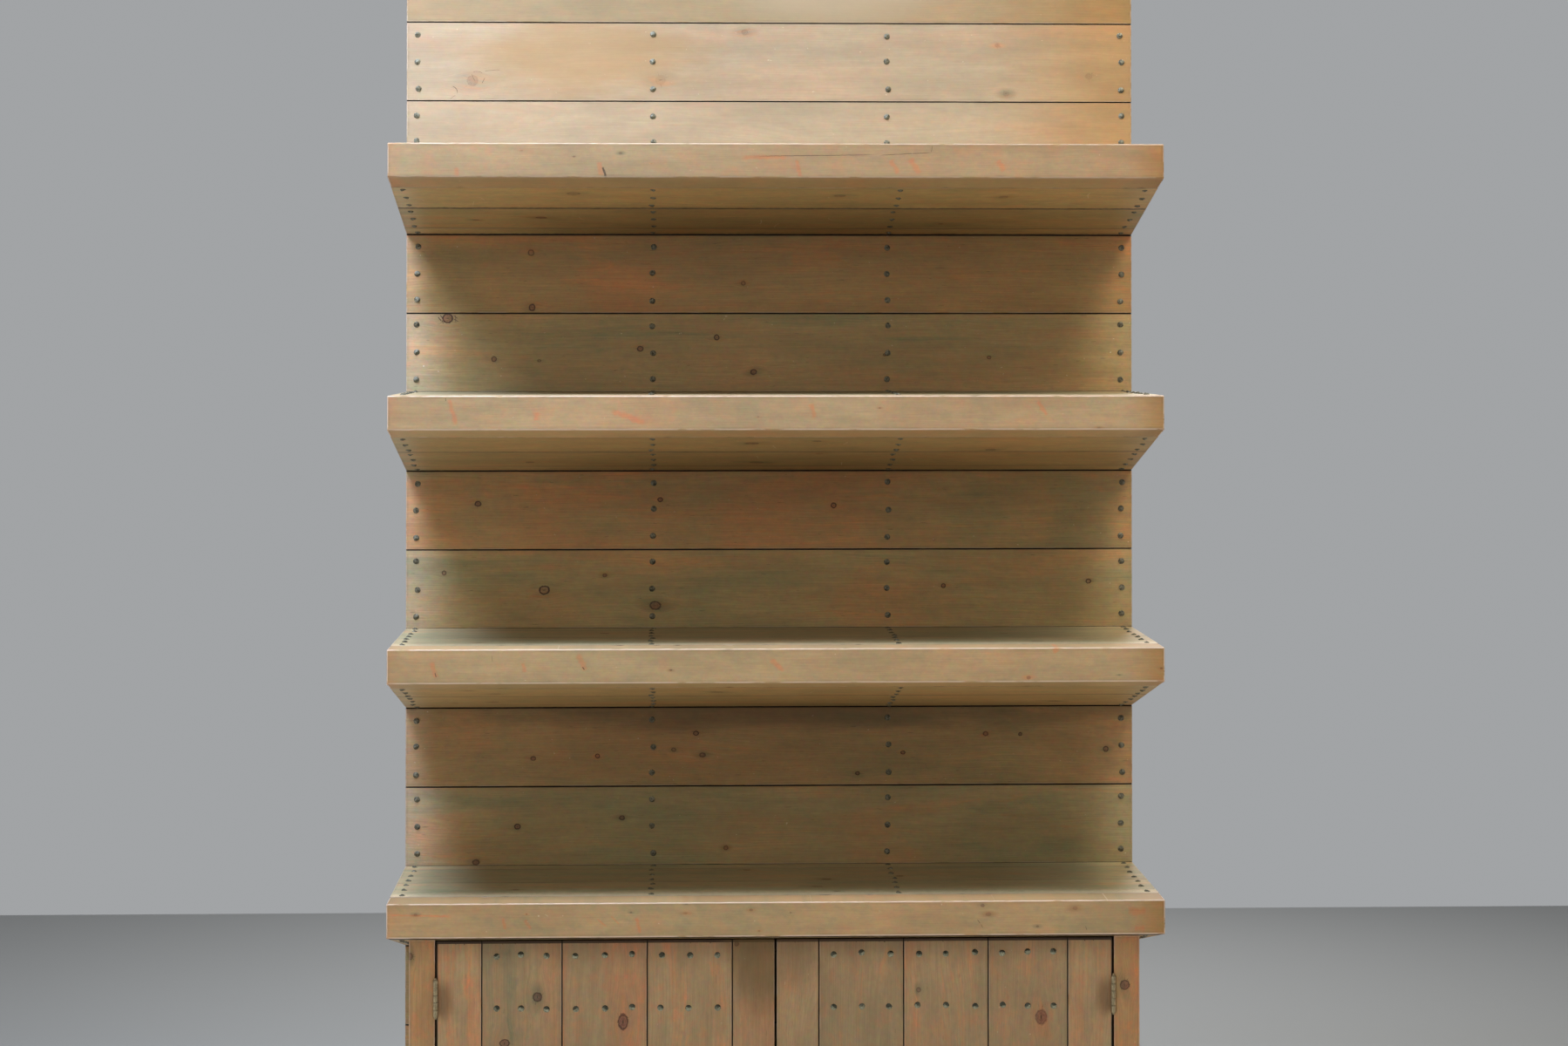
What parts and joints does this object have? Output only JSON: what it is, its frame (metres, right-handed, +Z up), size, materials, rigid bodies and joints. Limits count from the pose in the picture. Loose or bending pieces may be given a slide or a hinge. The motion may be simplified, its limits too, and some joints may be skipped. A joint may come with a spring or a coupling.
{
  "type": "wall unit",
  "caption": "Tall plank-backed wall unit with wedge-shaped open shelves over a base cabinet with hinged plank doors.",
  "frame": {"origin": "on the floor, under the middle of the unit's bounding box", "axes": "+X to the right as seen from the front, +Y towards the wall behind, +Z up; the front faces -Y"},
  "size_m": [1.34, 0.46, 2.5665],
  "materials": {
    "panel_pine": "washed stain under satin varnish",
    "shelf_pine": "washed stain under satin varnish",
    "cabinet_pine": "washed stain under satin varnish",
    "inner_pine": "plain sawn pine",
    "nail_iron": "hammered, waxed",
    "hinge_brass": "aged",
    "screw_steel": "dull zinc"
  },
  "bodies": {
    "carcass": {"back_plank_bay_1_row_1": "panel_pine", "back_plank_bay_1_row_2": "panel_pine", "back_plank_bay_2_row_1": "panel_pine", "back_plank_bay_2_row_2": "panel_pine", "back_plank_bay_3_row_1": "panel_pine", "back_plank_bay_3_row_2": "panel_pine", "back_plank_nails": "nail_iron", "back_plank_narrow": "panel_pine", "back_plank_upper_1": "panel_pine", "back_plank_upper_2": "panel_pine", "back_post_inner_left": "inner_pine", "back_post_inner_right": "inner_pine", "back_post_outer_left": "inner_pine", "back_post_outer_right": "inner_pine", "cabinet_back_planks": "panel_pine", "cabinet_corner_battens": "inner_pine", "cabinet_floor": "cabinet_pine", "cabinet_inner_shelf": "cabinet_pine", "cabinet_shelf_cleats": "inner_pine", "cabinet_side_nails": "nail_iron", "door_stop_strip": "inner_pine", "hinge_frame_screws": "screw_steel", "hinge_pins": "hinge_brass", "left_hinge_frame_leaves": "hinge_brass", "left_side_planks": "cabinet_pine", "left_stile": "cabinet_pine", "plinth_rail": "cabinet_pine", "right_hinge_frame_leaves": "hinge_brass", "right_side_planks": "cabinet_pine", "right_stile": "cabinet_pine", "shelf_1_front_batten": "shelf_pine", "shelf_1_ribs": "inner_pine", "shelf_1_top_boards": "shelf_pine", "shelf_1_under_boards": "shelf_pine", "shelf_2_front_batten": "shelf_pine", "shelf_2_ribs": "inner_pine", "shelf_2_top_boards": "shelf_pine", "shelf_2_under_boards": "shelf_pine", "shelf_3_front_batten": "shelf_pine", "shelf_3_ribs": "inner_pine", "shelf_3_top_boards": "shelf_pine", "shelf_3_under_boards": "shelf_pine", "shelf_and_worktop_nails": "nail_iron", "shelf_backing_planks": "panel_pine", "shelf_fixing_screws": "screw_steel", "worktop_front_batten": "shelf_pine", "worktop_ribs": "inner_pine", "worktop_top_boards": "shelf_pine", "worktop_under_boards": "shelf_pine"},
    "left_door": {"left_door_ledges": "cabinet_pine", "left_door_nails": "nail_iron", "left_door_planks": "cabinet_pine", "left_hinge_door_leaves": "hinge_brass", "left_hinge_door_screws": "screw_steel"},
    "right_door": {"right_door_ledges": "cabinet_pine", "right_door_nails": "nail_iron", "right_door_planks": "cabinet_pine", "right_hinge_door_leaves": "hinge_brass", "right_hinge_door_screws": "screw_steel"}
  },
  "joints": [
    {"name": "left_door_hinge", "type": "hinge", "parent": "carcass", "child": "left_door", "pos_m": [-0.5915, -0.1465, 0.427], "axis": [0, 0, -1], "range_deg": [0, 170]},
    {"name": "right_door_hinge", "type": "hinge", "parent": "carcass", "child": "right_door", "pos_m": [0.5915, -0.1465, 0.427], "axis": [0, 0, 1], "range_deg": [0, 170]}
  ]
}
